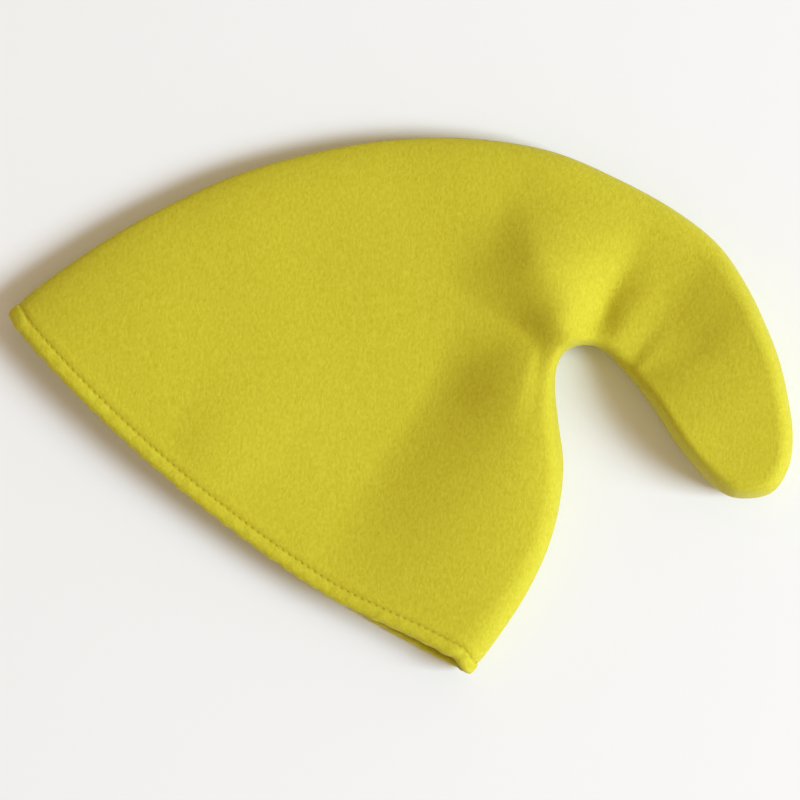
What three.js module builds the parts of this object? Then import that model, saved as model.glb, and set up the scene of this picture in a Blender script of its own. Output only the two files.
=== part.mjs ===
// A felt elf hat lying on its side. Two felt panels are sewn together round the crown and the drooping
// peak and turned right side out, so that the seam allowance lies inside and a narrow groove shows along
// the seam. The opening has a hem that is folded in once.
// Millimetres, +Z up. X runs along the opening from its back corner to its front corner, and Y from the
// opening to the crown. The origin is on the surface under the middle of the hat.
import * as THREE from "three";
import { mergeVertices } from "three/addons/utils/BufferGeometryUtils.js";

// Driving dimensions
const OPENING_WIDTH = 290; // along the folded-flat opening: half of a 58 cm head
const FELT = 2.5; // thickness of the felt
const HEM_TURNING = 12; // width of the felt folded in at the opening
const HEM_BOW = 15.8; // how far the middle of the opening's edge bows outwards
const HEM_BOW_KEEPS = 0.5; // the section up to which the felt has all of that bow
const HEM_BOW_ENDS = 4; // the section where the bow has died out
const HEM_DRAWN_BACK = 4.3; // how far the upper hem is drawn back near the front corner
const HEM_DRAWN_FROM = 0.7; // where along the opening that begins, as a share of its width
const HEM_DRAWN_FULL = 0.91; // the share from which it is drawn back all the way
const HEM_DRAWN_TO = 0.955; // the share from which it comes down to the corner again
const SEAM_ALLOWANCE = 6; // width of the felt left inside the seam
const SEAM_GROOVE = 2; // depth of the groove along the seam
const SEAM_GAP = 0.3; // between the two panels in the seam
const SEAM_HEIGHT = 10; // of the seam above the surface
const UNDER_ROLL = 16; // width of the rounded edge of the lower panel
const ROLL_POWER = 2.5; // how a rounded edge runs out: 2 is an ellipse, more is flatter inside
const FELT_COLOUR = 0xcbc531;
const FELT_ROUGHNESS = 0.95;

// Sections across the hat from the opening to the peak's tip: where each meets the back and the front
// seam, how high it stands above the surface towards its back and its front, and the widths over which
// its two edges round off.
const SECTION_COLUMNS = [
  "backX", "backY", "frontX", "frontY", "backRise", "frontRise", "backRoll", "frontRoll",
];
const SECTIONS = table(SECTION_COLUMNS, [
  [0, -1.5, OPENING_WIDTH, -1.5, 23, 18, 80, 18],
  [2.6, 15, 290.3, 15, 23, 18, 78, 18],
  [8.5, 36, 287.5, 50, 22, 16, 70, 14],
  [19, 66.5, 279.5, 80, 20, 15, 56, 11],
  [32.2, 96, 264, 108, 18.5, 15, 44, 10],
  [48, 125, 246.4, 126, 18, 16, 35, 9],
  [70, 155, 235.6, 137.5, 18, 17, 30, 7],
  [96, 183.3, 230.3, 146, 18, 18, 26, 5.5],
  [128, 209.2, 229, 153, 19, 19, 22, 5],
  [163, 228.4, 231.2, 159, 20, 20, 19, 5.5],
  [198, 238, 237, 164.3, 20, 19.5, 16, 6],
  [230, 243, 245.6, 166.4, 20, 18.5, 14, 6.5],
  [256, 242.7, 255.5, 165.3, 20, 18, 12, 6.5],
  [278, 236, 266, 163.3, 23.5, 23, 11, 6],
  [297, 226.8, 281, 159.2, 28, 28.5, 10.5, 5.5],
  [315, 216, 297, 153.5, 30.5, 31, 10, 5.5],
  [331, 203, 314, 149.2, 31, 31, 10, 6],
  [344, 189.8, 328, 147.2, 31, 31, 10, 8],
  [351.5, 176.5, 339.5, 148.8, 31, 31, 10, 10],
]);
const TIP = [352.3, 161.5]; // where the two seams meet at the end of the peak
const FAN_FROM = 16; // the section past which the ribs fan out round the peak's end

// Folds of the upper panel: where each starts, the bearing it runs on in degrees, the length over which it
// grows, its whole length, its width at the start as a share of its full width, the length over which it
// opens, its full widths to the left and to the right of its line, how softly its foot runs out (2 is soft,
// 1 a crease), and its height (depth where it is negative).
const FOLD_COLUMNS = [
  "name", "fromX", "fromY", "bearing", "grows", "reach", "start", "opens", "left", "right", "foot", "rise",
];
const FOLDS = table(FOLD_COLUMNS, [
  ["front bulge", 223, 142, 296, 30, 230, 0.62, 110, 68, 82, 2, 13.2],
  ["notch lip", 215, 142, 290, 14, 45, 0.6, 20, 11, 34, 2, 2],
  ["crown ridge", 226, 160.5, 148, 14, 75, 0.38, 45, 48, 58, 2, 12.5],
  ["crown swell", 194, 175, 98, 14, 65, 0.8, 30, 36, 50, 2, 3.5],
  ["bend hollow", 223, 172, 88, 14, 58, 0.6, 30, 60, 70, 2, -6],
  ["peak ridge", 245, 167, 90, 14, 55, 0.7, 25, 18, 34, 2, 5.4],
  ["peak pleat", 261.5, 166, 88, 10, 36, 0.5, 15, 5, 7, 2, 0.6],
  ["hem pucker", 128, 12, 105, 14, 50, 0.8, 20, 28, 34, 2, 1.6],
]);

// Rows of points across a rib, from the seam inwards
const EDGE_DEPTH = 9; // the rows up to here follow the seam, and those beyond run to the spine
const OUTER_EDGE_ROWS = [0.4, 1.8, 4.6, EDGE_DEPTH];
const INNER_EDGE_SHARES = [0.03, 0.15, 0.48, 1];
const UPPER_SPINE_SHARES = [0.08, 0.18, 0.3, 0.43, 0.57, 0.71, 0.85, 1];
const LOWER_SPINE_SHARES = [0.1, 0.28, 0.5, 0.75, 1];
const SEAM_SAMPLES = 420;
const ROW_TENSION = 0.5; // of the smooth curves through the section table's heights and widths
const UPPER_STEPS_PER_SECTION = 3;
const LOWER_STEPS_PER_SECTION = 2;
const HEM_FOLD_STEPS = 3;
const HEM_STEP = 0.8; // length over which the wall goes from two layers of felt to one
const WELD = 1e-3; // points closer than this are one point

const { clamp, degToRad, lerp, smoothstep } = THREE.MathUtils;

// Rows of values as objects keyed by the column names.
function table(columns, rows) {
  return rows.map((row) => Object.fromEntries(columns.map((column, i) => [column, row[i]])));
}

// The seam in plan: up the back, round the tip and down the front. Section s lies at s / (2 LAST) on the
// back and at 1 - s / (2 LAST) on the front.
const LAST = SECTIONS.length;
const seam = new THREE.CatmullRomCurve3(
  [
    ...SECTIONS.map((row) => new THREE.Vector3(row.backX, row.backY, 0)),
    new THREE.Vector3(TIP[0], TIP[1], 0),
    ...SECTIONS.toReversed().map((row) => new THREE.Vector3(row.frontX, row.frontY, 0)),
  ],
  false,
  "centripetal",
);
const seamLine = seam.getPoints(SEAM_SAMPLES);

function along(section, side) {
  const share = section / (2 * LAST);
  return side === "back" ? share : 1 - share;
}

// Two columns of the section table as a smooth curve over the rows; past the last row it keeps its value.
function smoothColumns(backColumn, frontColumn) {
  const points = SECTIONS.map((row) => new THREE.Vector3(row[backColumn], row[frontColumn], 0));
  const curve = new THREE.CatmullRomCurve3(points, false, "catmullrom", ROW_TENSION);
  return (section) => {
    const { x, y } = curve.getPoint(Math.min(section / (LAST - 1), 1));
    return { back: x, front: y };
  };
}
const riseAt = smoothColumns("backRise", "frontRise");
const rollWidthAt = smoothColumns("backRoll", "frontRoll");

function seamDistance(point) {
  let nearest = Infinity;
  const segment = new THREE.Line3();
  const foot = new THREE.Vector3();
  for (let i = 0; i + 1 < seamLine.length; i++) {
    segment.set(seamLine[i], seamLine[i + 1]).closestPointToPoint(point, true, foot);
    nearest = Math.min(nearest, foot.distanceTo(point));
  }
  return nearest;
}

// A rounded edge: 0 at the edge, where it is upright, and 1 from the full width inwards.
function roll(depth, width) {
  return Math.sqrt(1 - (1 - clamp(depth / width, 0, 1)) ** ROLL_POWER);
}

// The sum of the folds at a point in plan. Each grows at its start, opens to its full width and fades
// towards its end. Across it the height is (1 - s^2)^foot, where s is 0 on its line and 1 at its width.
function foldRise(point) {
  let sum = 0;
  for (const fold of FOLDS) {
    const bearing = degToRad(fold.bearing);
    const dx = point.x - fold.fromX;
    const dy = point.y - fold.fromY;
    const ahead = dx * Math.cos(bearing) + dy * Math.sin(bearing);
    const aside = dy * Math.cos(bearing) - dx * Math.sin(bearing);
    const open = lerp(fold.start, 1, smoothstep(ahead, 0, fold.opens));
    const s = clamp(aside / ((aside > 0 ? fold.left : fold.right) * open), -1, 1);
    const grown = smoothstep(ahead, -fold.grows, fold.grows);
    const left = 1 - smoothstep(ahead, fold.grows, fold.reach);
    sum += fold.rise * grown * left * (1 - s * s) ** fold.foot;
  }
  return sum;
}

// How far the hem's edge lies below the straight line between its corners, at a share of its width.
function hemBow(share) {
  return HEM_BOW * 4 * share * (1 - share);
}

// How far the upper hem is drawn back where it lifts off the lower one near the front corner.
function hemDrawnBack(share) {
  const drawn = smoothstep(share, HEM_DRAWN_FROM, HEM_DRAWN_FULL);
  return HEM_DRAWN_BACK * drawn * (1 - smoothstep(share, HEM_DRAWN_TO, 1));
}

// The share of that bow that the body still has at a section.
function bowShare(section) {
  return 1 - smoothstep(section, HEM_BOW_KEEPS, HEM_BOW_ENDS);
}

// The upper and the lower panel differ in which way they bulge, how high, and how their edges round.
const UPPER = {
  name: "upper_panel",
  side: 1,
  spineShares: UPPER_SPINE_SHARES,
  stepsPerSection: UPPER_STEPS_PER_SECTION,
  drawnBack: hemDrawnBack,
  height: (section, share, point) => {
    const rise = riseAt(Math.min(section, FAN_FROM));
    return lerp(rise.back, rise.front, smoothstep(share, 0, 1)) - SEAM_HEIGHT + foldRise(point);
  },
  rollWidth: (section, seamSide) => rollWidthAt(section)[seamSide],
};
const LOWER = {
  name: "lower_panel",
  side: -1,
  spineShares: LOWER_SPINE_SHARES,
  stepsPerSection: LOWER_STEPS_PER_SECTION,
  drawnBack: () => 0,
  height: () => SEAM_HEIGHT,
  rollWidth: () => UNDER_ROLL,
};

// One rib: the outer and the inner points of the felt from the seam to the spine of the panel.
// hemLayers is the thickness of the wall there, one felt or two.
function rib(panel, section, seamSide, hemLayers) {
  const t = along(section, seamSide);
  const edge = seam.getPoint(t);
  const tangent = seam.getTangent(t);
  const inwards = new THREE.Vector3(tangent.y, -tangent.x, 0).normalize();
  const spineSection = Math.min(section, FAN_FROM);
  const spine = seam
    .getPoint(along(spineSection, "back"))
    .lerp(seam.getPoint(along(spineSection, "front")), 0.5);
  const width = panel.rollWidth(section, seamSide);
  const wall = FELT * hemLayers;

  const inset = (depth) => edge.clone().addScaledVector(inwards, depth);
  const lastInset = inset(EDGE_DEPTH);
  const interior = panel.spineShares.map((share) => lastInset.clone().lerp(spine, share));

  // Places across the section are shares of its length, from the back seam at 0 to the front seam at 1.
  const back = seam.getPoint(along(section, "back"));
  const acrossLength = back.distanceTo(seam.getPoint(along(section, "front")));
  const acrossShare = (planPoint) =>
    acrossLength > 0 ? clamp(planPoint.distanceTo(back) / acrossLength, 0, 1) : 0;
  const place = (planPoint, height) => {
    const share = acrossShare(planPoint);
    const drop = (hemBow(share) - panel.drawnBack(share)) * bowShare(section);
    return new THREE.Vector3(planPoint.x, planPoint.y - drop, SEAM_HEIGHT + panel.side * height);
  };

  const outerAt = (planPoint, depth) => {
    const full = panel.height(section, acrossShare(planPoint), planPoint);
    return place(planPoint, SEAM_GROOVE + (full - SEAM_GROOVE) * roll(depth, width));
  };
  const innerAt = (planPoint, depth) => {
    const full = panel.height(section, acrossShare(planPoint), planPoint);
    return place(planPoint, FELT + (full - FELT - wall) * roll(depth - wall, width - wall));
  };

  const shoulder = SEAM_GROOVE * (1 - Math.SQRT1_2);
  const outer = [
    place(inset(SEAM_GROOVE), SEAM_GAP / 2),
    place(inset(shoulder), Math.max(shoulder, SEAM_GAP / 2)),
    place(inset(0), SEAM_GROOVE),
    ...OUTER_EDGE_ROWS.map((depth) => outerAt(inset(depth), depth)),
    ...interior.map((point) => outerAt(point, seamDistance(point))),
  ];
  const flangeEnd = SEAM_GROOVE + SEAM_ALLOWANCE;
  const innerDepths = INNER_EDGE_SHARES.map((share) => lerp(wall, EDGE_DEPTH, share));
  const inner = [
    place(inset(flangeEnd), SEAM_GAP / 2),
    place(inset(flangeEnd), FELT),
    place(inset(wall), FELT),
    ...innerDepths.map((depth) => innerAt(inset(depth), depth)),
    ...interior.map((point) => innerAt(point, seamDistance(point))),
  ];
  return { outer, inner };
}

// One closed section: outside from the back seam to the front seam, then inside back again. openness is
// 1 for the full wall and 0 where the hem's fold closes it.
function closedSection(panel, section, hemLayers, openness) {
  const back = rib(panel, section, "back", hemLayers);
  const front = rib(panel, section, "front", hemLayers);
  const outer = [...back.outer, ...front.outer.slice(0, -1).reverse()];
  const inner = [...back.inner, ...front.inner.slice(0, -1).reverse()];
  const folded = outer.map((point, i) => point.clone().lerp(inner[i], 0.5));
  const opened = (path) => path.map((point, i) => folded[i].clone().lerp(point, openness));
  return [...opened(outer), ...opened(inner).reverse()];
}

// The stations of a panel: the hem's round fold, the two layers of the hem, then the sections to the tip.
function stations(stepsPerSection) {
  const sectionPerMm = 1 / (SECTIONS[1].backY - SECTIONS[0].backY);
  const hem = [];
  for (let step = 0; step <= HEM_FOLD_STEPS; step++) {
    const angle = ((Math.PI / 2) * step) / HEM_FOLD_STEPS;
    const depth = FELT * (1 - Math.cos(angle));
    hem.push({ section: depth * sectionPerMm, layers: 2, openness: Math.sin(angle) });
  }
  hem.push({ section: HEM_TURNING * sectionPerMm, layers: 2, openness: 1 });
  hem.push({ section: (HEM_TURNING + HEM_STEP) * sectionPerMm, layers: 1, openness: 1 });
  const body = [];
  for (let step = stepsPerSection; step <= LAST * stepsPerSection; step++) {
    body.push({ section: step / stepsPerSection, layers: 1, openness: 1 });
  }
  return [...hem, ...body];
}

// One closed surface through closed sections of the same number of points. The first and the last
// section are folded flat, so they close the ends once equal points are merged.
function loftGeometry(sections, turned) {
  const ring = sections[0].length;
  const index = [];
  for (let s = 0; s + 1 < sections.length; s++) {
    for (let i = 0; i < ring; i++) {
      const a = s * ring + i;
      const b = s * ring + ((i + 1) % ring);
      const quad = [a, b, a + ring, b, b + ring, a + ring];
      index.push(...(turned ? quad.reverse() : quad));
    }
  }
  const loose = new THREE.BufferGeometry();
  const coordinates = sections.flat().flatMap((point) => point.toArray());
  loose.setAttribute("position", new THREE.Float32BufferAttribute(coordinates, 3));
  loose.setIndex(index);
  const geometry = mergeVertices(loose, WELD);
  const faces = [];
  for (let i = 0; i < geometry.index.count; i += 3) {
    const [a, b, c] = geometry.index.array.slice(i, i + 3);
    if (a !== b && b !== c && a !== c) faces.push(a, b, c);
  }
  geometry.setIndex(faces);
  geometry.computeVertexNormals();
  return geometry;
}

function panelMesh(panel) {
  const sections = stations(panel.stepsPerSection).map(({ section, layers, openness }) =>
    closedSection(panel, section, layers, openness),
  );
  const felt = new THREE.MeshStandardMaterial({
    color: FELT_COLOUR,
    roughness: FELT_ROUGHNESS,
    metalness: 0,
  });
  const mesh = new THREE.Mesh(loftGeometry(sections, panel.side < 0), felt);
  mesh.name = panel.name;
  return mesh;
}

const hat = new THREE.Group();
hat.add(panelMesh(UPPER), panelMesh(LOWER));
const middle = new THREE.Box3().setFromObject(hat).getCenter(new THREE.Vector3());
hat.position.set(-middle.x, -middle.y, 0);

export default hat;
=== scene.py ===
"""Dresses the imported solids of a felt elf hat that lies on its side.

Two felt panels are sewn round the crown and the drooping peak. Each is a closed sheet of felt whose height
over the plan comes from a table of sections and a table of folds, and the hem of the opening is stitched.
Lengths in the tables are millimetres. Meshes are in metres, in the frame of the solids.
"""

import math

import bpy
import numpy as np
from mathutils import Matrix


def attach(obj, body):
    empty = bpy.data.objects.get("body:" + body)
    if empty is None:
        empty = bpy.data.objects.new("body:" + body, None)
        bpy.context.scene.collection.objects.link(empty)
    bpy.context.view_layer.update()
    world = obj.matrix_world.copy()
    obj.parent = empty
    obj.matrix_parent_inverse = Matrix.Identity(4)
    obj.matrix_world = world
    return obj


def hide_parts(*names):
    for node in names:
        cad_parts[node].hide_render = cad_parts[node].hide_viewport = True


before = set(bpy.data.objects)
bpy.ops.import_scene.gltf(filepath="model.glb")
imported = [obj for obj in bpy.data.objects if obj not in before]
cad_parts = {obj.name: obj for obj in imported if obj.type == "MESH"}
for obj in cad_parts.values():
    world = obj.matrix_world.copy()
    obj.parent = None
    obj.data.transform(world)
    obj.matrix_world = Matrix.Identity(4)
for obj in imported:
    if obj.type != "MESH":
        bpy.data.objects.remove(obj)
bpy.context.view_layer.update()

bl_info = {
    "name": "Felt elf hat",
    "version": (1, 0, 0),
    "blender": (4, 5, 0),
    "location": "View3D > Sidebar > Felt hat",
    "description": "Builds a felt elf hat lying on its side, with a stitched hem, and a plain studio",
    "category": "Object",
}

MM = 0.001
BODY = "root"

# Sections across the hat from the opening to the peak, in mm: where each meets the back and the front seam,
# counted from the opening's back corner, how high it stands above the floor towards its back and its front,
# and the widths over which its two edges round off.
SECTION_COLUMNS = (
    "back_x", "back_y", "front_x", "front_y", "back_rise", "front_rise", "back_roll", "front_roll"
)
SECTIONS = np.array(
    [
        (0, -1.5, 290, -1.5, 23, 18, 80, 18),
        (2.6, 15, 290.3, 15, 23, 18, 78, 18),
        (8.5, 36, 287.5, 50, 22, 16, 70, 14),
        (19, 66.5, 279.5, 80, 20, 15, 56, 11),
        (32.2, 96, 264, 108, 18.5, 15, 44, 10),
        (48, 125, 246.4, 126, 18, 16, 35, 9),
        (70, 155, 235.6, 137.5, 18, 17, 30, 7),
        (96, 183.3, 230.3, 146, 18, 18, 26, 5.5),
        (128, 209.2, 229, 153, 19, 19, 22, 5),
        (163, 228.4, 231.2, 159, 20, 20, 19, 5.5),
        (198, 238, 237, 164.3, 20, 19.5, 16, 6),
        (230, 243, 245.6, 166.4, 20, 18.5, 14, 6.5),
        (256, 242.7, 255.5, 165.3, 20, 18, 12, 6.5),
        (278, 236, 266, 163.3, 23.5, 23, 11, 6),
        (297, 226.8, 281, 159.2, 28, 28.5, 10.5, 5.5),
        (315, 216, 297, 153.5, 30.5, 31, 10, 5.5),
        (331, 203, 314, 149.2, 31, 31, 10, 6),
        (344, 189.8, 328, 147.2, 31, 31, 10, 8),
        (351.5, 176.5, 339.5, 148.8, 31, 31, 10, 10),
    ]
)
TIP = (352.3, 161.5)  # where the two seams meet at the end of the peak
LAST = len(SECTIONS)
FIRST_SECTION = SECTIONS[1, 1] - SECTIONS[0, 1]  # mm from the opening to the next section
OPENING = SECTIONS[0, 2] - SECTIONS[0, 0]  # mm between the opening's corners
FAN_FROM = 16  # the section past which the ribs fan out round the peak's end

# Folds of the upper panel, in mm: where each starts, its bearing in degrees, the length over which it grows,
# its whole length, its width at the start as a share of its full width, the length over which it opens, its
# full widths to the left and to the right of its line, how softly its foot runs out, and its height (depth
# where it is negative).
FOLD_COLUMNS = (
    "from_x", "from_y", "bearing", "grows", "reach", "start", "opens", "left", "right", "foot", "rise"
)
FOLDS = {
    "front bulge": (223, 142, 296, 30, 230, 0.62, 110, 68, 82, 2, 13.2),
    "notch lip": (215, 142, 290, 14, 45, 0.6, 20, 11, 34, 2, 2),
    "crown ridge": (226, 160.5, 148, 14, 75, 0.38, 45, 48, 58, 2, 12.5),
    "crown swell": (194, 175, 98, 14, 65, 0.8, 30, 36, 50, 2, 3.5),
    "bend hollow": (223, 172, 88, 14, 58, 0.6, 30, 60, 70, 2, -6),
    "peak ridge": (245, 167, 90, 14, 55, 0.7, 25, 18, 34, 2, 5.4),
    "peak pleat": (261.5, 166, 88, 10, 36, 0.5, 15, 5, 7, 2, 0.6),
    "hem pucker": (128, 12, 105, 14, 50, 0.8, 20, 28, 34, 2, 1.6),
}

# Forms of the felt
ROLL_POWER = 2.5  # how a rounded edge runs out: 2 is an ellipse, more is flatter inside
BOW_KEEPS = 0.5  # the section up to which the felt has all of the hem's bow
BOW_ENDS = 4  # the section where the bow has died out

# Slow waves of the soft felt: height and lengths of a radian along x and y in mm, how much y slants the
# first of these, and where the waves begin along x and y, in radians
FELT_WAVES = (
    (0.3, 29, 25, 0.0, 0.7, 1.9),
    (0.22, 15, 19, 0.6, 0.0, math.pi / 2),
)

# Forms of the hem, in mm
HEM_STEP = 1.2  # length over which the wall goes from two layers of felt to one
HEM_BULGE = 0.7  # height of the padded band
HEM_BULGE_POWER = 1.2  # how steeply the band rises at its sides
HEM_LUMPS = 0.35  # share of the band's height that comes and goes in lumps
SHORT_LUMP = 1.4  # lengths of a radian of the lumps
LONG_LUMP = 2.6
SHORT_LUMP_SHARE = 0.6  # share of the short lumps in all
LUMP_WANDER = 1.3  # radians by which the lumps wander from an even pace
WANDER_LENGTH = 17  # length of a radian of this
UPPER_PHASE = 0.4  # where the lumps of each panel begin, in radians
LOWER_PHASE = 2.1
HEM_WAVE = 0.35  # how far the edge waves in and out
HEM_WAVE_DEPTH = 6  # depth from the edge where the wave has died out
HEM_WAVE_ENDS = 10  # length from each corner over which the wave grows
HEM_WAVE_SHIFT = 3  # how far along the hem the waves lie from the lumps
GROOVE_DEPTH = 0.3  # of the groove that the stitches pull in
GROOVE_WIDTH = 0.7
SWELL_HEIGHT = 0.35  # of the felt's swell past the groove
SWELL_AWAY = 3  # distance of the swell from the stitch line
SWELL_WIDTH = 2.2
RELIEF_FROM = 1  # depth from the seam where the hem's relief begins
RELIEF_FULL = 8  # depth from the seam where all of it is there
CORNER_OUT = 0.8  # how far the ends of the band stand out
CORNER_EASE = 1.2  # length before the stitch line over which that runs out
NOTCH_DEPTH = 0.4  # of the notch where the stitches end
NOTCH_WIDTH = 0.8

# Forms of the stitches
STITCH_MARGIN = 6 * MM  # from the corners of the hem to the first and the last stitch
STITCH_HALF = 0.4  # half a stitch, as a share of the pitch
STITCH_BOW = 0.5  # height of a stitch's middle line over the felt, in the thread's radii
STITCH_DIVE = 2.0  # how far its ends dive from there, in the thread's radii
PLIES = 2
PLY_PITCH = 0.55 * MM  # along the thread from one ply to the next

# How finely the surfaces are drawn
EDGE_DEPTH = 9  # mm from the seam up to which the rows run square to it
EDGE_ROWS = np.array([0.15, 0.4, 0.8, 1.4, 2.2, 3.2, 4.4, 5.8, 7.3, EDGE_DEPTH])
EDGE_CROWDING = 1.7  # how closely the inner rows crowd to the wall
SHOULDER_ROWS = 6  # round the shoulder of the seam's groove
SHOULDER_ANGLES = np.linspace(0, math.pi / 2, SHOULDER_ROWS)
SPINE_ROWS = 84  # from EDGE_DEPTH to the spine
SPINE_CROWDING = 1.15  # how closely these rows crowd to the edge
SEAM_SAMPLES = 500  # points of the seam where it is drawn as straight lines
HEM_FOLD_STEPS = 8  # round the hem's fold
HEM_ROW = 0.5  # mm between the rows of the hem's band
HEM_STEP_ROWS = np.array([0.4, 0.8, 1.2, 2.0])  # mm past the hem's turning
STEPS_PER_SECTION = 9
STITCH_SIDES = 6
STITCH_RINGS = 7
SLOPE_ROWS = 3  # to each side of the stitch line, over which the felt's slope there is taken
MERGE = 1e-7  # metres within which points are one
TINY = 1e-6  # mm, keeps a share of the width defined at the tip, where the width is nothing

# Matted felt as the material draws it: how its fibres lie, how fine each part is in turns per metre, and how
# much each part adds to the relief and to the lightness
NAP_BEARING = math.radians(122)
NAP_STRETCH = 1.45  # how much longer than wide the clumps are
FIBRE_SCALES = (850, 1600)
FIBRE_SHARPNESS = 7.0
CLUMP_SCALE = 680
GRAIN_SCALE = 2800
CLUMP_RELIEF = 1.2
GRAIN_RELIEF = 0.6
FIBRE_RELIEF = 0.5
NEEDLE_RELIEF = -1.2
CLUMP_SHADE = 1.3
FIBRE_SHADE = 0.2
# painted shade: how much the stitch line's groove darkens the felt
LINE_PAINTED_SHADE = -0.15
SHADE_START = -0.12
NEEDLE_PAINTED_SHADE = 0.55  # share of the needle holes' painted shade in the middle of a dimple
NEEDLE_POWER = 3.0  # how narrow the needle's dimples are along the stitch line
LINE_HALF_WIDTH = 0.75  # mm, of the stitch line
MIX_INPUTS = (6, 7)  # places of the Mix node's sockets for colours
MIX_OUTPUT = 2

# The studio
FLOOR_HALF = 4.0  # metres from the middle of the floor to its sides
FLOOR_DROP = 0.05 * MM  # how far the floor lies under the hat
SKY_LOW = 0.15  # share of straight up where the even light's colour begins to change
SKY_HIGH = 0.45  # share of straight up from which it has changed


class HatSizes(bpy.types.PropertyGroup):
    """Sizes of the felt, the seam and the hem."""

    felt: bpy.props.FloatProperty(
        name="Felt", description="Thickness of the felt", default=2.5 * MM, unit="LENGTH"
    )
    seam_height: bpy.props.FloatProperty(
        name="Seam height", description="Height of the seam above the floor", default=10 * MM, unit="LENGTH"
    )
    seam_groove: bpy.props.FloatProperty(
        name="Seam groove", description="Depth of the groove along the seam", default=2 * MM, unit="LENGTH"
    )
    seam_gap: bpy.props.FloatProperty(
        name="Seam gap", description="Space between the panels in the seam", default=0.3 * MM, unit="LENGTH"
    )
    seam_allowance: bpy.props.FloatProperty(
        name="Seam allowance", description="Felt left inside the seam", default=6 * MM, unit="LENGTH"
    )
    under_roll: bpy.props.FloatProperty(
        name="Under roll", description="Width of the lower rounded edge", default=16 * MM, unit="LENGTH"
    )
    hem_turning: bpy.props.FloatProperty(
        name="Hem turning", description="Width of the felt folded in", default=12 * MM, unit="LENGTH"
    )
    hem_bow: bpy.props.FloatProperty(
        name="Hem bow", description="How far the hem bows outwards", default=15.8 * MM, unit="LENGTH"
    )
    hem_drawn_back: bpy.props.FloatProperty(
        name="Hem drawn back",
        description="How far the upper hem is drawn back near the front corner",
        default=4.3 * MM,
        unit="LENGTH",
    )
    hem_drawn_from: bpy.props.FloatProperty(
        name="Drawn back from",
        description="Share of the opening's width where the upper hem begins to be drawn back",
        default=0.7,
        subtype="FACTOR",
    )
    hem_drawn_full: bpy.props.FloatProperty(
        name="Fully drawn back",
        description="Share of the opening's width from which the upper hem is drawn back all the way",
        default=0.91,
        subtype="FACTOR",
    )
    hem_drawn_to: bpy.props.FloatProperty(
        name="Drawn back to",
        description="Share of the opening's width from which the upper hem comes down to the corner again",
        default=0.955,
        subtype="FACTOR",
    )
    stitch_line: bpy.props.FloatProperty(
        name="Stitch line",
        description="Distance of the stitches from the hem's edge",
        default=7.6 * MM,
        unit="LENGTH",
    )
    stitch_pitch: bpy.props.FloatProperty(
        name="Stitch pitch", description="Length of a stitch with its gap", default=3.8 * MM, unit="LENGTH"
    )
    thread: bpy.props.FloatProperty(
        name="Thread", description="Thickness of the sewing thread", default=0.5 * MM, unit="LENGTH"
    )


class HatColours(bpy.types.PropertyGroup):
    """Colours of the felt and the thread, as linear light."""

    felt: bpy.props.FloatVectorProperty(
        name="Felt", description="Main colour of the felt", default=(0.608, 0.567, 0.034), subtype="COLOR"
    )
    # The felt's deep colour is the dark end of its random grain. It is also painted shade along the stitch
    # line and between the thread's plies.
    felt_deep_and_shade: bpy.props.FloatVectorProperty(
        name="Deep felt",
        description="Colour between the fibres and in the stitch line",
        default=(0.489, 0.389, 0.0),
        subtype="COLOR",
    )
    # The needle holes' colour is painted shade: it darkens the felt in the stitches' dimples.
    needle: bpy.props.FloatVectorProperty(
        name="Needle holes",
        description="Colour of the felt that the stitches pull down",
        default=(0.4, 0.27, 0.003),
        subtype="COLOR",
    )
    sheen: bpy.props.FloatVectorProperty(
        name="Sheen", description="Tint of the light in the fuzz", default=(1.0, 0.98, 0.75), subtype="COLOR"
    )
    thread: bpy.props.FloatVectorProperty(
        name="Thread", description="Colour of the sewing thread", default=(0.6, 0.53, 0.02), subtype="COLOR"
    )


class StudioSetup(bpy.types.PropertyGroup):
    """The floor, the lights and the camera."""

    floor: bpy.props.FloatVectorProperty(
        name="Floor", description="Colour of the floor", default=(0.82, 0.83, 0.91), subtype="COLOR"
    )
    camera_height: bpy.props.FloatProperty(
        name="Camera height", description="Height of the camera above the floor", default=1.5, unit="LENGTH"
    )
    camera_x: bpy.props.FloatProperty(
        name="Camera X", description="Place of the camera along the opening", default=2.7 * MM, unit="LENGTH"
    )
    camera_y: bpy.props.FloatProperty(
        name="Camera Y", description="Place of the camera across the hat", default=-28.3 * MM, unit="LENGTH"
    )
    camera_turn: bpy.props.FloatProperty(
        name="Camera turn",
        description="Angle of the opening to the picture's level line",
        default=math.radians(38.047),
        subtype="ANGLE",
    )
    picture_width: bpy.props.FloatProperty(
        name="Picture width",
        description="Width that the picture covers at the height of the seam",
        default=0.3972,
        unit="LENGTH",
    )
    key_power: bpy.props.FloatProperty(
        name="Key light", description="Power of the large lamp to the right", default=603.0, unit="POWER"
    )
    key_colour: bpy.props.FloatVectorProperty(
        name="Key colour", description="Colour of the large lamp", default=(0.87, 1.0, 1.07), subtype="COLOR"
    )
    key_distance: bpy.props.FloatProperty(
        name="Key distance", description="Distance of the lamp from the hat", default=7.0, unit="LENGTH"
    )
    key_size: bpy.props.FloatProperty(
        name="Key size", description="Width of the large lamp", default=2.8, unit="LENGTH"
    )
    key_height: bpy.props.FloatProperty(
        name="Key height",
        description="Angle of the large lamp above the floor",
        default=math.radians(33.7),
        subtype="ANGLE",
    )
    key_side: bpy.props.FloatProperty(
        name="Key side",
        description="Angle of the large lamp below the right of the picture",
        default=math.radians(14),
        subtype="ANGLE",
    )
    fill: bpy.props.FloatProperty(
        name="Fill light", description="Brightness of the even light", default=0.525, subtype="FACTOR"
    )
    fill_low: bpy.props.FloatVectorProperty(
        name="Fill near the horizon",
        description="Colour of the even light near the horizon",
        default=(1.25, 1.25, 1.22),
        subtype="COLOR",
    )
    fill_high: bpy.props.FloatVectorProperty(
        name="Fill overhead",
        description="Colour of the even light overhead",
        default=(1.0, 0.76, 0.44),
        subtype="COLOR",
    )


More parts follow.
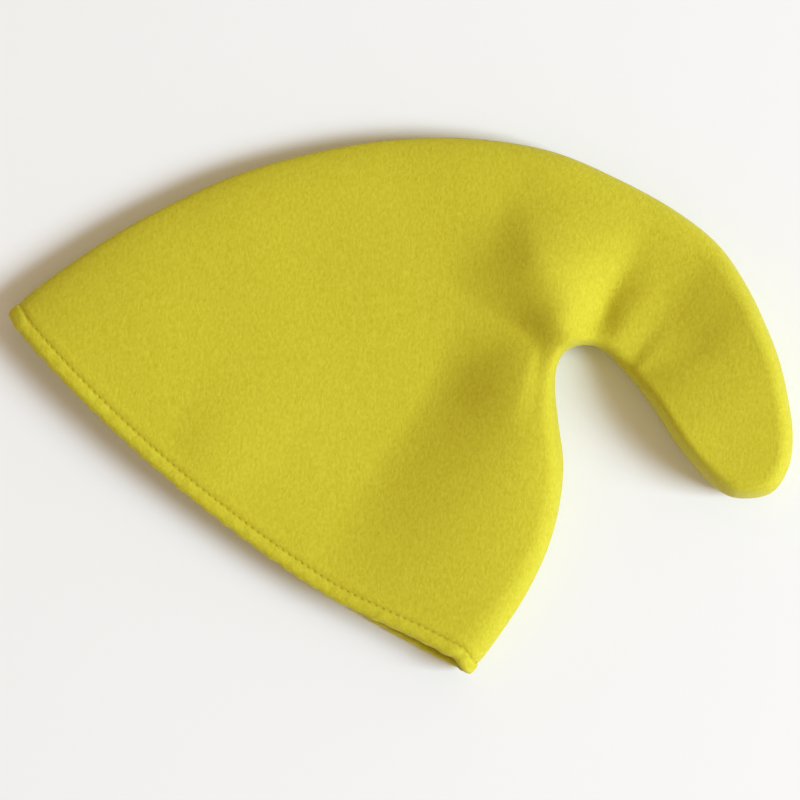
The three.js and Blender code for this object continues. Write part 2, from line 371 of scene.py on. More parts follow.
def smoothstep(low, high, value):
    """0 below low and 1 above high, with the cubic 3t^2 - 2t^3 between."""
    t = np.clip((value - low) / (high - low), 0, 1)
    return t * t * (3 - 2 * t)


def bell(distance, width):
    """1 at no distance, falling off on both sides as e to the power of -(distance / width)^2."""
    return np.exp(-((distance / width) ** 2))


def seam_controls():
    """The seam's control points in plan: up the back, round the tip and down the front."""
    return np.vstack([SECTIONS[:, 0:2], [TIP], SECTIONS[::-1, 2:4]])


def seam_curve(u):
    """Points and directions of the smooth curve through the seam's control points.

    u counts control points: section s lies at s on the back and at 2 LAST - s on the front. Between two
    points the curve is a cubic whose end slopes come from the neighbours, weighted by the roots of their
    distances.
    """
    p = seam_controls()
    p = np.vstack([2 * p[0] - p[1], p, 2 * p[-1] - p[-2]])
    i = np.clip(np.floor(u).astype(int), 0, len(p) - 4)
    w = (u - i)[..., None]
    p0, p1, p2, p3 = p[i], p[i + 1], p[i + 2], p[i + 3]
    spans = ((p0, p1), (p1, p2), (p2, p3))
    d0, d1, d2 = (np.sqrt(np.linalg.norm(b - a, axis=-1))[..., None] for a, b in spans)
    m1 = d1 * ((p1 - p0) / d0 - (p2 - p0) / (d0 + d1) + (p2 - p1) / d1)
    m2 = d1 * ((p2 - p1) / d1 - (p3 - p1) / (d1 + d2) + (p3 - p2) / d2)
    c2 = 3 * (p2 - p1) - 2 * m1 - m2
    c3 = 2 * (p1 - p2) + m1 + m2
    points = p1 + w * (m1 + w * (c2 + w * c3))
    slopes = m1 + w * (2 * c2 + 3 * w * c3)
    return points, slopes / np.linalg.norm(slopes, axis=-1, keepdims=True)


def seam_distance(plan):
    """Distance in plan from each point to the nearest piece of the seam, drawn as short straight lines."""
    line, _ = seam_curve(np.linspace(0, 2 * LAST, SEAM_SAMPLES))
    nearest = np.full(plan.shape[:-1], np.inf)
    for a, b in zip(line[:-1], line[1:]):
        along = b - a
        t = np.clip(((plan - a) @ along) / (along @ along), 0, 1)
        nearest = np.minimum(nearest, np.linalg.norm(plan - a - t[..., None] * along, axis=-1))
    return nearest


def section_column(name, section):
    """A column of the section table between its rows.

    It is a cubic whose slope at a row is half the step from the row before to the row after.
    """
    values = SECTIONS[:, SECTION_COLUMNS.index(name)]
    values = np.concatenate([[2 * values[0] - values[1]], values, [2 * values[-1] - values[-2]]])
    section = np.minimum(section, LAST - 1)
    i = np.minimum(np.floor(section).astype(int), LAST - 2)
    w = section - i
    v0, v1, v2, v3 = (values[i + step] for step in range(4))
    m1, m2 = (v2 - v0) / 2, (v3 - v1) / 2
    return v1 + w * (m1 + w * (3 * (v2 - v1) - 2 * m1 - m2 + w * (2 * (v1 - v2) + m1 + m2)))


def roll(depth, width):
    """Rise of a rounded edge: 0 at the edge, where it stands upright, and 1 from the full width inwards.

    It is the root of 1 - (1 - depth / width)^ROLL_POWER, which meets the flat felt without a crease.
    """
    return np.sqrt(1 - (1 - np.clip(depth / width, 0, 1)) ** ROLL_POWER)


def fold_rise(plan):
    """Sum of the folds: each grows at its start, opens to its full width and fades towards its end.

    Across a fold the height is (1 - s^2)^foot, where s runs from 0 on its line to 1 at the width of that
    side, so a foot of 2 runs out softly and one near 1 leaves a crease.
    """
    total = np.zeros(plan.shape[:-1])
    for row in FOLDS.values():
        fold = dict(zip(FOLD_COLUMNS, row))
        bearing = math.radians(fold["bearing"])
        dx = plan[..., 0] - fold["from_x"]
        dy = plan[..., 1] - fold["from_y"]
        ahead = dx * math.cos(bearing) + dy * math.sin(bearing)
        aside = dy * math.cos(bearing) - dx * math.sin(bearing)
        open_share = fold["start"] + (1 - fold["start"]) * smoothstep(0, fold["opens"], ahead)
        width = np.where(aside > 0, fold["left"], fold["right"]) * open_share
        across = (1 - np.clip(aside / width, -1, 1) ** 2) ** fold["foot"]
        grown = smoothstep(-fold["grows"], fold["grows"], ahead)
        left = 1 - smoothstep(fold["grows"], fold["reach"], ahead)
        total += fold["rise"] * grown * left * across
    return total


def felt_waves(plan):
    """Slow uneven waves of the soft felt, in mm: the sum of products of a sine along x and one along y."""
    x, y = plan[..., 0], plan[..., 1]
    total = np.zeros(plan.shape[:-1])
    for height, x_length, y_length, slant, x_phase, y_phase in FELT_WAVES:
        total += height * np.sin((x + slant * y) / x_length + x_phase) * np.sin(y / y_length + y_phase)
    return total


def stations(sizes):
    """The cross sections of a panel: place along the hat, layers of felt, and how open the wall is.

    The hem's fold is a half round, opened by the sine of its angle. Then come the hem's two layers, a short
    step to one layer, and the sections up to the tip.
    """
    per_mm = 1 / FIRST_SECTION
    felt, turning = sizes.felt / MM, sizes.hem_turning / MM
    angle = np.linspace(0, math.pi / 2, HEM_FOLD_STEPS + 1)
    fold = felt * (1 - np.cos(angle)) * per_mm
    band = np.arange(felt + HEM_ROW, turning + HEM_ROW / 2, HEM_ROW) * per_mm
    step = (turning + HEM_STEP_ROWS) * per_mm
    body = np.linspace(1, LAST, (LAST - 1) * STEPS_PER_SECTION + 1)
    section = np.concatenate([fold, band, step, body])
    layers = np.interp(section / per_mm, [turning, turning + HEM_STEP], [2, 1])
    openness = np.concatenate([np.sin(angle), np.ones(len(section) - len(angle))])
    return section, layers, openness


def hem_edge_drop(sizes, share, upper):
    """How far the hem's edge lies outside the line between its corners, in mm, at a share of its width.

    The bow is a parabola. The upper hem is drawn back from it near the front corner, by two smooth steps.
    """
    drop = sizes.hem_bow / MM * 4 * share * (1 - share)
    if upper:
        drawn = smoothstep(sizes.hem_drawn_from, sizes.hem_drawn_full, share)
        drawn = drawn * (1 - smoothstep(sizes.hem_drawn_to, 1, share))
        drop = drop - sizes.hem_drawn_back / MM * drawn
    return drop


def hem_lumps(run, phase):
    """Uneven lumps along the hem, from -1 to 1.

    They are a short and a long sine, whose pace wanders with a third, slower one. The long one wanders twice
    as far, the other way.
    """
    wander = LUMP_WANDER * np.sin(run / WANDER_LENGTH + phase)
    short = np.sin(run / SHORT_LUMP + wander)
    long = np.sin(run / LONG_LUMP - 2 * wander + phase)
    return SHORT_LUMP_SHARE * short + (1 - SHORT_LUMP_SHARE) * long


def corner_push(sizes, hem_depth):
    """How far the hem's doubled band stands out at its ends, in mm, with a notch where the stitches end."""
    line = sizes.stitch_line / MM
    square = CORNER_OUT * (1 - smoothstep(line - CORNER_EASE, line, hem_depth))
    return square - NOTCH_DEPTH * bell(hem_depth - line, NOTCH_WIDTH)


def hem_relief(sizes, hem_depth, lumps):
    """Height of the hem's lumpy band, of the groove of its stitches and of the swell past it, in mm.

    The band is a power of half a sine from the edge to the stitch line, and the others are bells.
    """
    line = sizes.stitch_line / MM
    band = np.sin(math.pi * np.clip(hem_depth / line, 0, 1)) ** HEM_BULGE_POWER
    bulge = HEM_BULGE * band * (1 + HEM_LUMPS * lumps)
    groove = -GROOVE_DEPTH * bell(hem_depth - line, GROOVE_WIDTH)
    swell = SWELL_HEIGHT * bell(hem_depth - line - SWELL_AWAY, SWELL_WIDTH)
    return bulge + groove + swell


def rib_plan(sizes, side):
    """Plan points and depths from the seam for the outside and the inside of one half of a panel.

    The rows up to EDGE_DEPTH run square to the seam, and the others straight to the spine, which is the
    middle of the section or, past FAN_FROM, one point that the ribs of the peak's end fan out from. The
    outer rows begin in the seam's groove, and the inner ones at the end of the seam allowance.
    """
    section, layers, _ = stations(sizes)
    groove = sizes.seam_groove / MM
    wall = (sizes.felt / MM * layers)[:, None]
    edge, direction = seam_curve(section if side == "back" else 2 * LAST - section)
    inwards = np.stack([direction[:, 1], -direction[:, 0]], axis=-1)
    edge = edge - inwards * corner_push(sizes, section * FIRST_SECTION)[:, None]
    spine_section = np.minimum(section, FAN_FROM)
    spine = (seam_curve(spine_section)[0] + seam_curve(2 * LAST - spine_section)[0]) / 2

    def inset(depths):
        return edge[:, None] + inwards[:, None] * depths[..., None]

    last_inset = inset(np.full_like(wall, EDGE_DEPTH))
    spine_share = np.linspace(0, 1, SPINE_ROWS + 1)[1:] ** SPINE_CROWDING
    interior = last_inset + (spine[:, None] - last_inset) * spine_share[:, None]
    interior_depths = seam_distance(interior)

    outer_rows = np.concatenate([groove * (1 - np.sin(SHOULDER_ANGLES)), EDGE_ROWS])
    outer_edge = np.broadcast_to(outer_rows, (len(section), len(outer_rows)))
    flange = groove + sizes.seam_allowance / MM
    top_share = np.linspace(1, 0, SHOULDER_ROWS - 1)
    roll_share = np.linspace(0, 1, len(EDGE_ROWS) + 1)[1:] ** EDGE_CROWDING
    inner_top = wall + (flange - wall) * top_share
    inner_roll = wall + (EDGE_DEPTH - wall) * roll_share
    inner_edge = np.concatenate([np.full_like(wall, flange), inner_top, inner_roll], axis=1)

    def whole(edge_depths):
        plan = np.concatenate([inset(edge_depths), interior], axis=1)
        return plan, np.concatenate([edge_depths, interior_depths], axis=1)

    return whole(outer_edge), whole(inner_edge)


def rib(sizes, side, upper):
    """Outer and inner points of one half of a panel, from the seam to the spine, for every station.

    The outer height over the seam is groove + (full - groove) * roll(depth), and inside the rounded edges
    the inner one is the wall's thickness less. The lower panel is upside down, and flat where it lies.
    """
    section, layers, _ = stations(sizes)
    felt, groove, seam = sizes.felt / MM, sizes.seam_groove / MM, sizes.seam_height / MM
    wall = (felt * layers)[:, None]
    (outer_plan, outer_depths), (inner_plan, inner_depths) = rib_plan(sizes, side)
    back, _ = seam_curve(section)
    front, _ = seam_curve(2 * LAST - section)
    across = np.maximum(np.linalg.norm(front - back, axis=-1), TINY)[:, None]
    bow = (1 - smoothstep(BOW_KEEPS, BOW_ENDS, section))[:, None]
    hem_depth = (section * FIRST_SECTION)[:, None]
    phase = UPPER_PHASE if upper else LOWER_PHASE

    def share_of(plan):
        return np.clip(np.linalg.norm(plan - back[:, None], axis=-1) / across, 0, 1)

    def full_height(plan):
        if not upper:
            return np.full(plan.shape[:-1], seam)
        level = np.minimum(section, FAN_FROM)
        back_rise = section_column("back_rise", level)[:, None]
        front_rise = section_column("front_rise", level)[:, None]
        rise = back_rise + (front_rise - back_rise) * smoothstep(0, 1, share_of(plan))
        return rise - seam + fold_rise(plan) + felt_waves(plan)

    width = section_column(side + "_roll", section)[:, None] if upper else sizes.under_roll / MM
    outer_height = groove + (full_height(outer_plan) - groove) * roll(outer_depths, width)
    lumps = hem_lumps(share_of(outer_plan) * OPENING, phase)
    relief = hem_relief(sizes, hem_depth, lumps) * smoothstep(RELIEF_FROM, RELIEF_FULL, outer_depths)
    outer_height = outer_height + (relief if upper else np.minimum(relief, 0))
    outer_height[:, :SHOULDER_ROWS] = groove * (1 - np.cos(SHOULDER_ANGLES))
    inner_height = felt + (full_height(inner_plan) - felt - wall) * roll(inner_depths - wall, width - wall)
    inner_height[:, 0] = 0
    inner_height[:, 1:SHOULDER_ROWS] = felt
    least = sizes.seam_gap / MM / 2

    def placed(plan, height):
        share = share_of(plan)
        run = share * OPENING
        ends = smoothstep(0, HEM_WAVE_ENDS, run) * smoothstep(0, HEM_WAVE_ENDS, OPENING - run)
        fading = 1 - smoothstep(0, HEM_WAVE_DEPTH, hem_depth)
        wave = HEM_WAVE * hem_lumps(run + HEM_WAVE_SHIFT, phase) * ends * fading
        y = plan[..., 1] - hem_edge_drop(sizes, share, upper) * bow - wave
        z = seam + (1 if upper else -1) * np.maximum(height, least)
        return np.stack([plan[..., 0], y, z], axis=-1), share

    outer, share = placed(outer_plan, outer_height)
    inner, _ = placed(inner_plan, inner_height)
    return outer, inner, share


def panel_surface(sizes, upper):
    """Outer and inner sides of a panel as grids of points in the frame, and each point's share of the width.

    The two halves are joined along the spine. In the hem's fold the two sides come together by the wall's
    openness.
    """
    back_outer, back_inner, back_share = rib(sizes, "back", upper)
    front_outer, front_inner, front_share = rib(sizes, "front", upper)
    outer = np.concatenate([back_outer, front_outer[:, -2::-1]], axis=1)
    inner = np.concatenate([back_inner, front_inner[:, -2::-1]], axis=1)
    share = np.concatenate([back_share, front_share[:, -2::-1]], axis=1)
    openness = stations(sizes)[2][:, None, None]
    middle = (outer + inner) / 2
    outer = middle + (outer - middle) * openness
    inner = middle + (inner - middle) * openness
    return to_frame(sizes, outer), to_frame(sizes, inner), share


def to_frame(sizes, points):
    """Moves points from the opening's back corner, in mm, to the frame, in metres.

    The origin is the middle of the box in plan, which reaches down to the hem's bow.
    """
    line, _ = seam_curve(np.linspace(0, 2 * LAST, SEAM_SAMPLES))
    low = np.array([line[:, 0].min(), SECTIONS[0, 1] - sizes.hem_bow / MM])
    high = line.max(axis=0)
    centre = np.array([*(low + high) / 2, 0])
    return (points - centre) * MM


def new_piece(name, points, triangles, material, attributes):
    """A mesh object from arrays, with shared points merged and collapsed triangles left out."""
    keys = np.round(points / MERGE).astype(np.int64)
    _, first, back = np.unique(keys, axis=0, return_index=True, return_inverse=True)
    triangles = back.reshape(-1)[triangles]
    a, b, c = triangles.T
    triangles = triangles[(a != b) & (b != c) & (a != c)]
    mesh = bpy.data.meshes.new(name)
    mesh.from_pydata(points[first], [], triangles)
    for attribute, values in attributes.items():
        layer = mesh.attributes.new(attribute, "FLOAT", "POINT")
        layer.data.foreach_set("value", np.ascontiguousarray(values[first], dtype=np.float32))
    mesh.shade_smooth()
    mesh.validate()
    mesh.materials.append(material)
    piece = bpy.data.objects.new(name, mesh)
    bpy.context.scene.collection.objects.link(piece)
    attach(piece, BODY)
    return piece


def ring_triangles(station_count, ring, turned):
    """Two triangles for each cell of a grid of stations whose columns close into a ring."""
    s, i = np.meshgrid(np.arange(station_count - 1), np.arange(ring), indexing="ij")
    a = (s * ring + i).ravel()
    b = (s * ring + (i + 1) % ring).ravel()
    triangles = np.concatenate([np.stack([a, b, a + ring], 1), np.stack([b, b + ring, a + ring], 1)])
    return triangles[:, ::-1] if turned else triangles


def build_panel(name, node, upper):
    """One felt panel as a closed sheet: the outside from seam to seam, then the inside back again.
    """
    sizes = bpy.context.scene.hat_sizes
    outer, inner, share = panel_surface(sizes, upper)
    points = np.concatenate([outer, inner[:, ::-1]], axis=1)
    count, ring = points.shape[:2]
    hem_depth = np.broadcast_to((stations(sizes)[0] * FIRST_SECTION)[:, None], (count, ring))
    hem_run = np.concatenate([share, share[:, ::-1]], axis=1) * OPENING
    attributes = {"hem_depth": hem_depth.ravel(), "hem_run": hem_run.ravel()}
    triangles = ring_triangles(count, ring, not upper)
    piece = new_piece(name, points.reshape(-1, 3), triangles, felt_material(), attributes)
    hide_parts(node)


def node_group(name, inputs, outputs):
    """An empty shader node group with the given sockets, and its input and output nodes."""
    group = bpy.data.node_groups.new(name, "ShaderNodeTree")
    for socket, kind in inputs:
        group.interface.new_socket(socket, in_out="INPUT", socket_type=kind)
    for socket, kind in outputs:
        group.interface.new_socket(socket, in_out="OUTPUT", socket_type=kind)
    return group, group.nodes.new("NodeGroupInput"), group.nodes.new("NodeGroupOutput")


def feed(tree, socket, value):
    """Gives a socket another socket's value, or a plain one."""
    if isinstance(value, bpy.types.NodeSocket):
        tree.links.new(value, socket)
    else:
        socket.default_value = value


def math_node(tree, operation, *values):
    """A Math node fed by sockets or plain numbers, and its output."""
    node = tree.nodes.new("ShaderNodeMath")
    node.operation = operation
    for socket, value in zip(node.inputs, values):
        feed(tree, socket, value)
    return node.outputs[0]


def weighted_sum(tree, terms, start=0.0):
    """A start value plus the sum of sockets, each times its weight."""
    total = start
    for socket, weight in terms:
        total = math_node(tree, "MULTIPLY_ADD", socket, weight, total)
    return total


def half_wave(tree, operation, angle):
    """A sine or cosine of an angle, brought to between 0 and 1."""
    return math_node(tree, "MULTIPLY_ADD", math_node(tree, operation, angle), 0.5, 0.5)


def noise_node(tree, vector, scale, detail, distortion):
    """A noise texture on a vector, and its value."""
    node = tree.nodes.new("ShaderNodeTexNoise")
    node.inputs["Scale"].default_value = scale
    node.inputs["Detail"].default_value = detail
    node.inputs["Distortion"].default_value = distortion
    tree.links.new(vector, node.inputs["Vector"])
    return node.outputs["Fac"]


def attribute_node(tree, name):
    """The value of a mesh's own attribute."""
    node = tree.nodes.new("ShaderNodeAttribute")
    node.attribute_name = name
    return node.outputs["Fac"]


def mix_colours(tree, factor, first, second):
    """A colour mix of two colours, given as sockets or plain colours, by a factor socket."""
    node = tree.nodes.new("ShaderNodeMix")
    node.data_type = "RGBA"
    tree.links.new(factor, node.inputs["Factor"])
    for place, value in zip(MIX_INPUTS, (first, second)):
        feed(tree, node.inputs[place], value if isinstance(value, bpy.types.NodeSocket) else (*value, 1))
    return node.outputs[MIX_OUTPUT]


def add_bump(tree, shader, height, strength, distance):
    """Bumps a shader's normal by a height."""
    bump = tree.nodes.new("ShaderNodeBump")
    bump.inputs["Strength"].default_value = strength
    bump.inputs["Distance"].default_value = distance
    tree.links.new(height, bump.inputs["Height"])
    tree.links.new(bump.outputs["Normal"], shader.inputs["Normal"])


def matted_fibre_group():
    """Matted fibres: thin bright lines over coarser and finer clumps, all drawn out along the nap.

    A line is where a twisted noise crosses its middle: 1 less the sharpness times the distance from there.
    """
    name = "Matted fibres"
    if name in bpy.data.node_groups:
        return bpy.data.node_groups[name]
    group, start, end = node_group(
        name,
        [("Vector", "NodeSocketVector")],
        [("Fibre", "NodeSocketFloat"), ("Clumps", "NodeSocketFloat"), ("Relief", "NodeSocketFloat")],
    )
    nap = group.nodes.new("ShaderNodeMapping")
    nap.vector_type = "TEXTURE"
    nap.inputs["Rotation"].default_value = (0, 0, NAP_BEARING)
    nap.inputs["Scale"].default_value = (NAP_STRETCH, 1, 1)
    group.links.new(start.outputs["Vector"], nap.inputs["Vector"])
    vector = nap.outputs["Vector"]
    lines = []
    for scale in FIBRE_SCALES:
        twisted = noise_node(group, vector, scale, detail=3.0, distortion=1.6)
        off_middle = math_node(group, "ABSOLUTE", math_node(group, "SUBTRACT", twisted, 0.5))
        lines.append(math_node(group, "MULTIPLY_ADD", off_middle, -FIBRE_SHARPNESS, 1.0))
    fibre = math_node(group, "MAXIMUM", math_node(group, "MAXIMUM", *lines), 0.0)
    clumps = noise_node(group, vector, CLUMP_SCALE, detail=3.0, distortion=0.4)
    grain = noise_node(group, vector, GRAIN_SCALE, detail=2.0, distortion=0.0)
    relief = weighted_sum(group, ((clumps, CLUMP_RELIEF), (grain, GRAIN_RELIEF), (fibre, FIBRE_RELIEF)))
    group.links.new(fibre, end.inputs["Fibre"])
    group.links.new(clumps, end.inputs["Clumps"])
    group.links.new(relief, end.inputs["Relief"])
    return group


def new_material(name, colour, roughness, specular, sheen, sheen_roughness):
    """A material with its Principled shader's constant values set on the shader itself."""
    material = bpy.data.materials.new(name)
    material.use_nodes = True
    shader = material.node_tree.nodes["Principled BSDF"]
    shader.inputs["Base Color"].default_value = (*colour, 1)
    shader.inputs["Roughness"].default_value = roughness
    shader.inputs["Specular IOR Level"].default_value = specular
    shader.inputs["Sheen Weight"].default_value = sheen
    shader.inputs["Sheen Roughness"].default_value = sheen_roughness
    return material, material.node_tree, shader


def stitch_line_masks(tree, sizes):
    """The hem's stitch line, and the needle's dimples along it, as values from 0 to 1, for painted shade in
    the felt's colour and for its bump.

    The line is 1 - d^2, where d is the distance from it in half widths. The dimples are a power of a cosine
    along the hem, one for each stitch.
    """
    off_line = math_node(tree, "SUBTRACT", attribute_node(tree, "hem_depth"), sizes.stitch_line / MM)
    off_line = math_node(tree, "DIVIDE", off_line, LINE_HALF_WIDTH)
    line = math_node(tree, "SUBTRACT", 1.0, math_node(tree, "MULTIPLY", off_line, off_line))
    line = math_node(tree, "MAXIMUM", line, 0.0)
    pace = math.tau * MM / sizes.stitch_pitch
    turns = math_node(tree, "MULTIPLY", attribute_node(tree, "hem_run"), pace)
    needle = math_node(tree, "POWER", half_wave(tree, "COSINE", turns), NEEDLE_POWER)
    return line, math_node(tree, "MULTIPLY", line, needle)


def felt_material():
    """Felt: matted fibres over the main colour, darker between them, with painted shade along the stitch
    line and in the needle's dimples.
    """
    name = "Yellow felt"
    if name in bpy.data.materials:
        return bpy.data.materials[name]
    sizes, colours = bpy.context.scene.hat_sizes, bpy.context.scene.hat_colours
    material, tree, shader = new_material(
        name, colours.felt, roughness=0.75, specular=0.25, sheen=0.2, sheen_roughness=0.4
    )
    shader.inputs["Sheen Tint"].default_value = (*colours.sheen, 1)
    fibres = tree.nodes.new("ShaderNodeGroup")
    fibres.node_tree = matted_fibre_group()
    tree.links.new(tree.nodes.new("ShaderNodeTexCoord").outputs["Object"], fibres.inputs["Vector"])
    fibre, clumps, relief = (fibres.outputs[part] for part in ("Fibre", "Clumps", "Relief"))
    line, dimple = stitch_line_masks(tree, sizes)
    # The stitch line's term paints shade into the felt along its groove.
    terms = ((clumps, CLUMP_SHADE), (fibre, FIBRE_SHADE), (line, LINE_PAINTED_SHADE))
    colour = mix_colours(tree, weighted_sum(tree, terms, SHADE_START), colours.felt_deep_and_shade, colours.felt)
    # Painted shade: the needle holes' colour darkens the felt in the stitches' dimples.
    needle_painted_shade = math_node(tree, "MULTIPLY", dimple, NEEDLE_PAINTED_SHADE)
    colour = mix_colours(tree, needle_painted_shade, colour, colours.needle)
    tree.links.new(colour, shader.inputs["Base Color"])
    height = math_node(tree, "MULTIPLY_ADD", dimple, NEEDLE_RELIEF, relief)
    add_bump(tree, shader, height, strength=0.6, distance=0.35 * MM)
    return material


def thread_material():
    """Sewing thread: two plies seen as slanting light and dark bands along each stitch, the dark bands
    painted shade in the grooves between the plies.
    """
    name = "Sewing thread"
    if name in bpy.data.materials:
        return bpy.data.materials[name]
    colours = bpy.context.scene.hat_colours
    material, tree, shader = new_material(
        name, colours.thread, roughness=0.7, specular=0.3, sheen=0.15, sheen_roughness=0.5
    )
    band = half_wave(tree, "SINE", attribute_node(tree, "ply"))
    # The dark bands are painted shade in the grooves between the plies.
    tree.links.new(mix_colours(tree, band, colours.felt_deep_and_shade, colours.thread), shader.inputs["Base Color"])
    add_bump(tree, shader, band, strength=0.5, distance=0.06 * MM)
    return material


def stitch_path(sizes, upper):
    """The hem's stitch line on the outside of a panel: points, outward normals and lengths along it.

    The normal is the cross product of the surface's two grid directions.
    """
    outer, _, _ = panel_surface(sizes, upper)
    section = stations(sizes)[0]
    at = int(np.argmin(abs(section * FIRST_SECTION - sizes.stitch_line / MM)))
    path = outer[at]
    across = np.gradient(path, axis=0)
    up_hat = outer[at + SLOPE_ROWS] - outer[at - SLOPE_ROWS]
    normal = np.cross(across, up_hat)
    normal /= np.linalg.norm(normal, axis=1, keepdims=True)
    if not upper:
        normal = -normal
    length = np.concatenate([[0], np.cumsum(np.linalg.norm(np.diff(path, axis=0), axis=1))])
    return path, normal, length


def stitch_row(sizes, upper):
    """Stitches of one hem as tubes: each bows out of the felt in its middle and dives in at its ends.

    Along a stitch, s runs from -1 to 1. The height over the felt is the thread's radius times
    STITCH_BOW - STITCH_DIVE s^4, and the radius shrinks to nothing at both ends by the root of 1 - s^8. What
    the hat lies on presses the lower row flat.
    """
    path, normal, length = stitch_path(sizes, upper)
    count = int((length[-1] - 2 * STITCH_MARGIN) / sizes.stitch_pitch)
    centre = STITCH_MARGIN + (np.arange(count) + 0.5) * sizes.stitch_pitch
    s = np.linspace(-1, 1, STITCH_RINGS)
    at = centre[:, None] + s * sizes.stitch_pitch * STITCH_HALF

    def sample(values):
        return np.stack([np.interp(at, length, values[:, axis]) for axis in range(3)], axis=-1)

    radius = sizes.thread / 2
    out = sample(normal)
    middle = sample(path) + out * (radius * (STITCH_BOW - STITCH_DIVE * s**4))[:, None]
    along = np.gradient(middle, axis=1)
    along /= np.linalg.norm(along, axis=-1, keepdims=True)
    beside = np.cross(along, out)
    turn = np.linspace(0, math.tau, STITCH_SIDES, endpoint=False)
    thick = radius * np.sqrt(np.maximum(1 - s**8, 0))
    ring = np.cos(turn)[:, None] * beside[..., None, :] + np.sin(turn)[:, None] * out[..., None, :]
    points = middle[..., None, :] + ring * thick[:, None, None]
    points[..., 2] = np.maximum(points[..., 2], 0)
    ply = (at[..., None] / PLY_PITCH + turn / math.tau * PLIES) * math.tau
    return points, ply


def build_stitches(name):
    """All hem stitches of both panels, joined into one piece that rides on the hems.

    The end rings of a stitch have shrunk to a point, so new_piece closes each tube there.
    """
    sizes = bpy.context.scene.hat_sizes
    rows = [stitch_row(sizes, upper) for upper in (True, False)]
    points = np.concatenate([row[0] for row in rows])
    ply = np.concatenate([row[1] for row in rows])
    starts = np.arange(len(points)) * STITCH_RINGS * STITCH_SIDES
    triangles = starts[:, None, None] + ring_triangles(STITCH_RINGS, STITCH_SIDES, True)
    attributes = {"ply": ply.ravel()}
    new_piece(name, points.reshape(-1, 3), triangles.reshape(-1, 3), thread_material(), attributes)


def build_floor(studio):
    """A wide pale floor just under the hat."""
    mesh = bpy.data.meshes.new("floor")
    square = ((-1, -1), (1, -1), (1, 1), (-1, 1))
    mesh.from_pydata([(x * FLOOR_HALF, y * FLOOR_HALF, -FLOOR_DROP) for x, y in square], [], [(0, 1, 2, 3)])
    material, _, _ = new_material(
        "Pale floor", studio.floor, roughness=0.9, specular=0.5, sheen=0.0, sheen_roughness=0.5
    )
    mesh.materials.append(material)
    floor = bpy.data.objects.new("floor", mesh)
    bpy.context.scene.collection.objects.link(floor)


def add_key_light(studio):
    """A large square lamp to the right of the picture that looks at the hat."""
    bearing = studio.camera_turn - studio.key_side
    level = studio.key_distance * math.cos(studio.key_height)
    height = studio.key_distance * math.sin(studio.key_height)
    data = bpy.data.lights.new("key", "AREA")
    data.size = studio.key_size
    data.energy = studio.key_power
    data.color = studio.key_colour
    light = bpy.data.objects.new("key", data)
    bpy.context.scene.collection.objects.link(light)
    light.location = (level * math.cos(bearing), level * math.sin(bearing), height)
    towards = -light.location.normalized()
    light.rotation_euler = towards.to_track_quat("-Z", "Y").to_euler()


def even_light(studio):
    """A world lit all round, pale near the horizon and warmer overhead.

    The two colours are mixed by the height of the direction looked in, from SKY_LOW to SKY_HIGH.
    """
    world = bpy.data.worlds.new("Even light")
    world.use_nodes = True
    tree = world.node_tree
    direction = tree.nodes.new("ShaderNodeSeparateXYZ")
    tree.links.new(tree.nodes.new("ShaderNodeTexCoord").outputs["Generated"], direction.inputs[0])
    climb = tree.nodes.new("ShaderNodeMapRange")
    climb.inputs["From Min"].default_value = SKY_LOW
    climb.inputs["From Max"].default_value = SKY_HIGH
    tree.links.new(direction.outputs["Z"], climb.inputs["Value"])
    background = tree.nodes["Background"]
    colour = mix_colours(tree, climb.outputs["Result"], studio.fill_low, studio.fill_high)
    tree.links.new(colour, background.inputs["Color"])
    background.inputs["Strength"].default_value = studio.fill
    return world


def add_camera(studio, seam_height):
    """A camera straight above, whose picture covers the given width at the height of the seam."""
    data = bpy.data.cameras.new("camera")
    data.lens = data.sensor_width * (studio.camera_height - seam_height) / studio.picture_width
    camera = bpy.data.objects.new("camera", data)
    bpy.context.scene.collection.objects.link(camera)
    camera.location = (studio.camera_x, studio.camera_y, studio.camera_height)
    camera.rotation_euler = (0, 0, studio.camera_turn)
    return camera


class HAT_OT_upper_panel(bpy.types.Operator):
    """Build the felt panel that faces up, with its hem and its folds"""

    bl_idname = "felt_hat.upper_panel"
    bl_label = "Upper panel"

    def execute(self, context):
        build_panel("upper_felt", "upper_panel", True)
        return {"FINISHED"}


class HAT_OT_lower_panel(bpy.types.Operator):
    """Build the felt panel that the hat lies on"""

    bl_idname = "felt_hat.lower_panel"
    bl_label = "Lower panel"

    def execute(self, context):
        build_panel("lower_felt", "lower_panel", False)
        return {"FINISHED"}


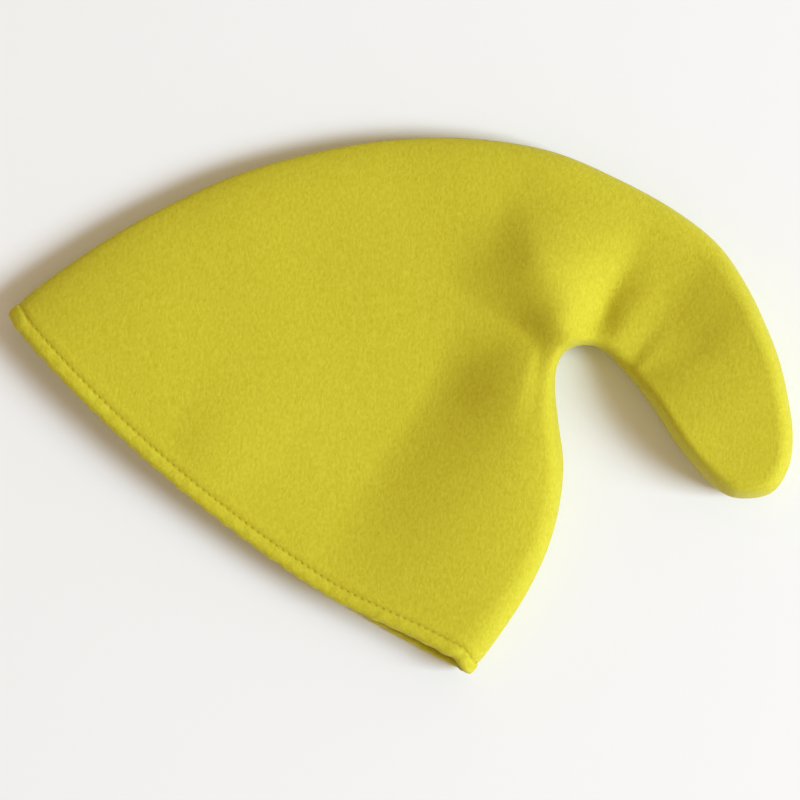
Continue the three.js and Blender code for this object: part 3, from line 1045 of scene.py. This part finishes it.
class HAT_OT_hem_stitches(bpy.types.Operator):
    """Sew the stitches round the hem"""

    bl_idname = "felt_hat.hem_stitches"
    bl_label = "Hem stitches"

    def execute(self, context):
        build_stitches("hem_stitches")
        return {"FINISHED"}


class HAT_OT_stage(bpy.types.Operator):
    """Set up the floor, the soft lights and the camera straight above"""

    bl_idname = "felt_hat.stage"
    bl_label = "Stage"

    def execute(self, context):
        scene = context.scene
        studio = scene.hat_studio
        build_floor(studio)
        add_key_light(studio)
        scene.world = even_light(studio)
        scene.camera = add_camera(studio, scene.hat_sizes.seam_height)
        scene.view_settings.view_transform = "Standard"
        return {"FINISHED"}


class HAT_PT_pieces(bpy.types.Panel):
    """Lists the hat's sizes, colours and pieces"""

    bl_idname = "HAT_PT_pieces"
    bl_label = "Felt hat"
    bl_space_type = "VIEW_3D"
    bl_region_type = "UI"
    bl_category = "Felt hat"

    def draw(self, context):
        for group in (context.scene.hat_sizes, context.scene.hat_colours, context.scene.hat_studio):
            box = self.layout.box()
            for name in group.bl_rna.properties.keys():
                if name not in ("rna_type", "name"):
                    box.prop(group, name)
        for operator in PIECES + (HAT_OT_stage,):
            self.layout.operator(operator.bl_idname)


PIECES = (HAT_OT_upper_panel, HAT_OT_lower_panel, HAT_OT_hem_stitches)
GROUPS = {"hat_sizes": HatSizes, "hat_colours": HatColours, "hat_studio": StudioSetup}
CLASSES = (*GROUPS.values(), *PIECES, HAT_OT_stage, HAT_PT_pieces)


def register():
    """Registers the classes and hangs the property groups on the scene."""
    for cls in CLASSES:
        bpy.utils.register_class(cls)
    for name, group in GROUPS.items():
        setattr(bpy.types.Scene, name, bpy.props.PointerProperty(type=group))


def unregister():
    """Takes away what register added."""
    for name in GROUPS:
        delattr(bpy.types.Scene, name)
    for cls in reversed(CLASSES):
        bpy.utils.unregister_class(cls)


def main():
    """Builds the pieces and the stage."""
    register()
    bpy.ops.felt_hat.upper_panel()
    bpy.ops.felt_hat.lower_panel()
    bpy.ops.felt_hat.hem_stitches()
    bpy.ops.felt_hat.stage()


if __name__ == "__main__":
    main()
